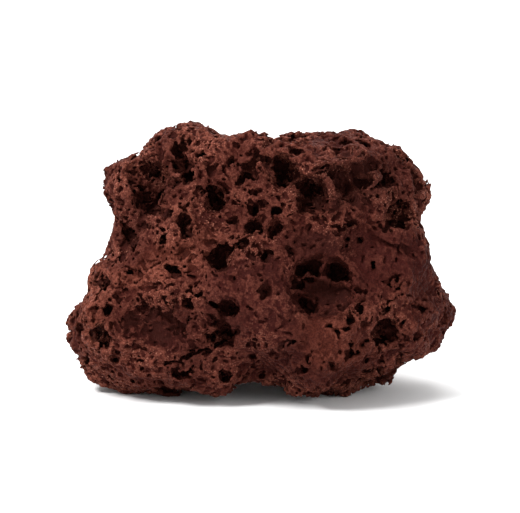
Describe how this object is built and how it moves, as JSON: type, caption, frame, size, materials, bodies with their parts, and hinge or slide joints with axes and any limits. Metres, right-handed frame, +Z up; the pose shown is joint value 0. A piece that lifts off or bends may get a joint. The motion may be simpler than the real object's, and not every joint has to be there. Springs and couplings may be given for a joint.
{
  "type": "lava rock",
  "caption": "Natural lump of dark red-brown scoria, full of gas pockets of every size, that stands by itself on its flattest side.",
  "frame": {"origin": "middle of the rock's box, on the surface that it stands on", "axes": "+X along the rock, -Y towards its best side with the large pocket, +Z up"},
  "size_m": [0.1506, 0.0966, 0.1031],
  "materials": {
    "scoria": "rough and dull, with small glints on its broken edges"
  },
  "bodies": {
    "root": {"lava_rock": "scoria"}
  },
  "joints": []
}
